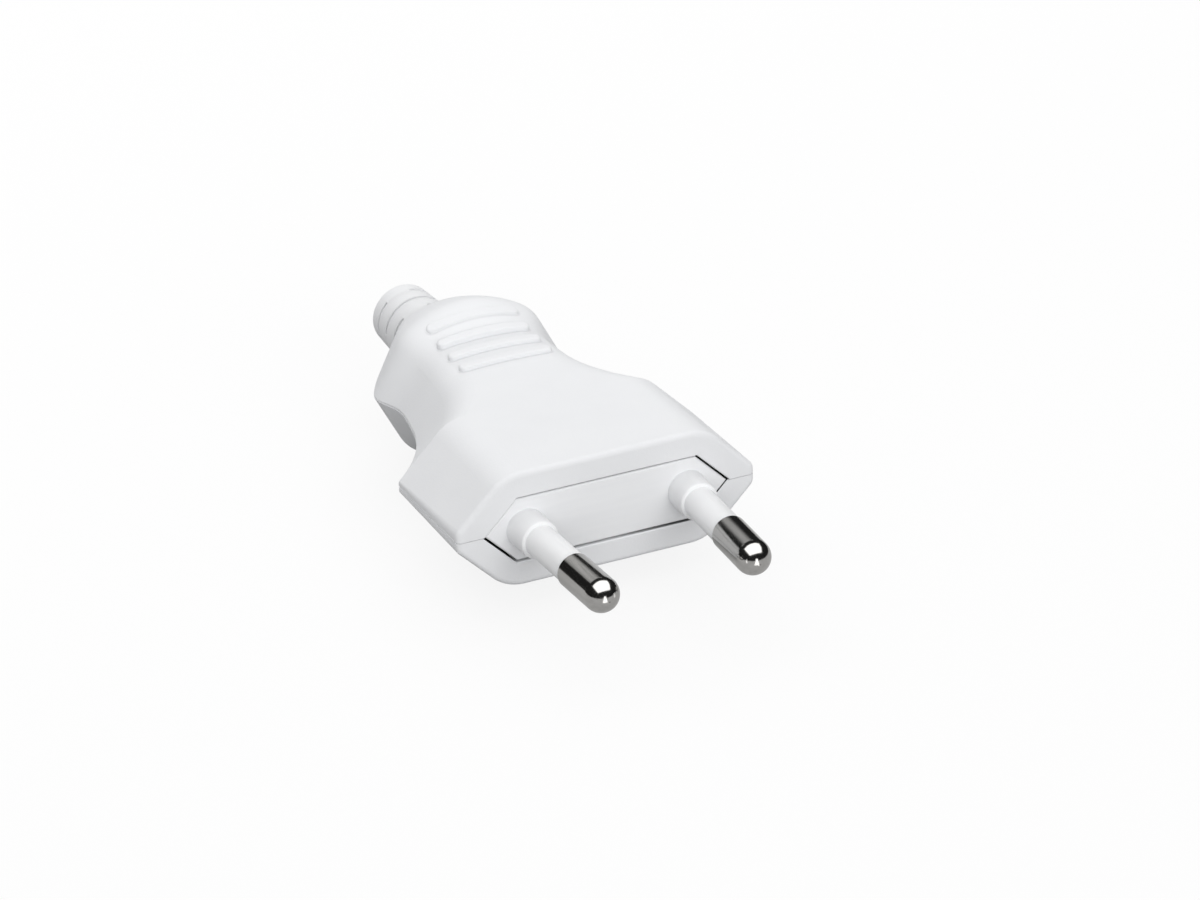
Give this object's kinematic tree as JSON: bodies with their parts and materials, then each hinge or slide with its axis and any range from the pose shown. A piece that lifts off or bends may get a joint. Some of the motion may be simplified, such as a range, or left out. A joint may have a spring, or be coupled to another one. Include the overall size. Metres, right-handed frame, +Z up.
{
  "type": "europlug",
  "caption": "Flat two-pole mains plug with round sleeved pins, a hexagonal screw-together housing with grip ridges, and a slotted bend relief for the cord.",
  "frame": {"origin": "middle of the engagement face, between the two pins", "axes": "-Y along the pins into the socket, +Y towards the cord, +Z up through the upper shell"},
  "size_m": [0.0356, 0.0746, 0.0188],
  "materials": {
    "housing": "fine-textured moulded white",
    "carrier": "smooth moulded white",
    "sleeve": "smooth white insulating sleeve",
    "boot": "flexible matt white",
    "pin_metal": "polished nickel plating",
    "screw_steel": "zinc plated"
  },
  "bodies": {
    "root": {"upper_shell": "housing", "lower_shell": "housing", "pin_carrier": "carrier", "pin_left": "pin_metal", "pin_right": "pin_metal", "pin_sleeve_left": "sleeve", "pin_sleeve_right": "sleeve", "terminal_screw_left": "screw_steel", "terminal_screw_right": "screw_steel", "housing_screw": "screw_steel", "cord_clamp": "carrier", "clamp_screw_left": "screw_steel", "clamp_screw_right": "screw_steel", "bend_relief": "boot"}
  },
  "joints": []
}
